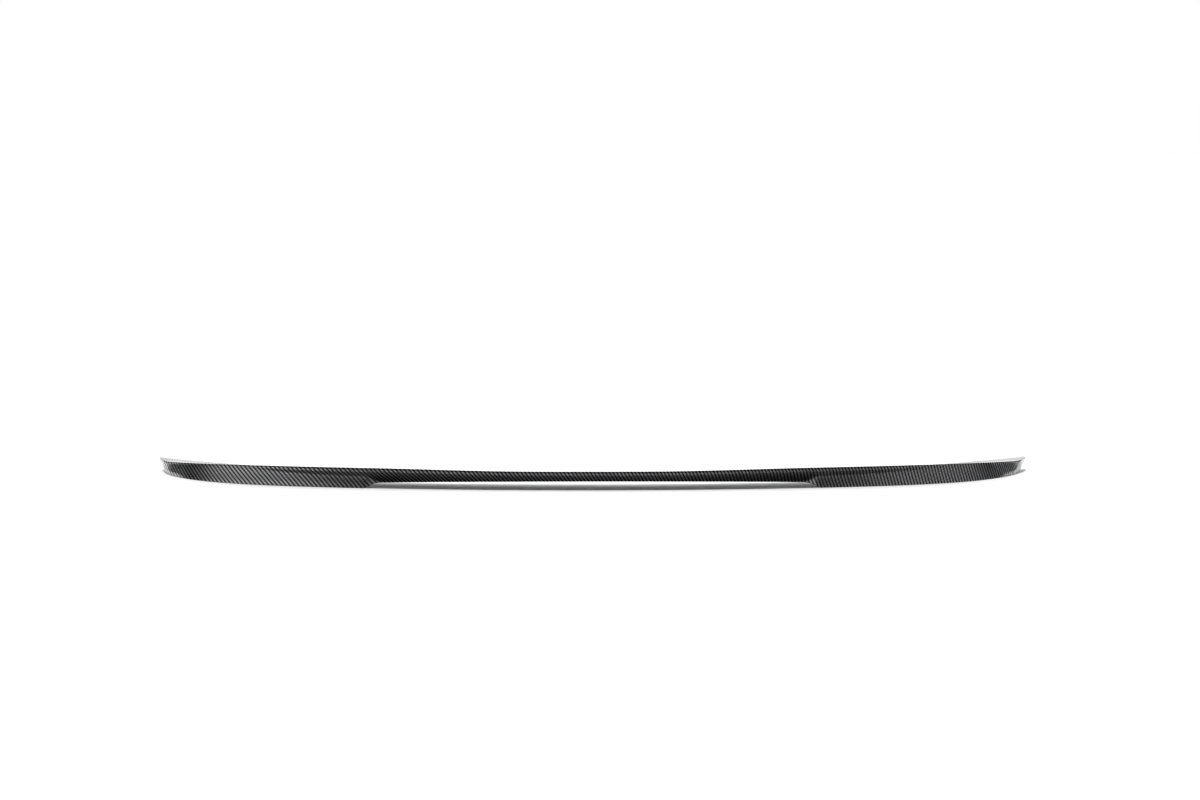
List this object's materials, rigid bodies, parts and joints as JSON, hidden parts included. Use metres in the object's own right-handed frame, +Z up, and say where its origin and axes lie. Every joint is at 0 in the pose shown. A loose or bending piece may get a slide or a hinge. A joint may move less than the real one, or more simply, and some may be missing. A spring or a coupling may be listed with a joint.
{
  "type": "car rear spoiler",
  "caption": "Low lip spoiler for the rear edge of a car's boot lid: a thin moulded carbon-fibre shell with a raised crest, a cut-out in the middle and a skirt at each side.",
  "frame": {"origin": "middle of the part's bounding box, at the height of the feet that it stands on", "axes": "+Y towards the front of the car, so the rear face looks along -Y; +X to the right as seen from behind the car; +Z up"},
  "size_m": [1.2, 0.1874, 0.0262],
  "materials": {
    "carbon_shell": "twill carbon-fibre laminate under a clear gloss coat, bare cloth inside"
  },
  "bodies": {
    "root": {"spoiler_shell": "carbon_shell"}
  },
  "joints": []
}
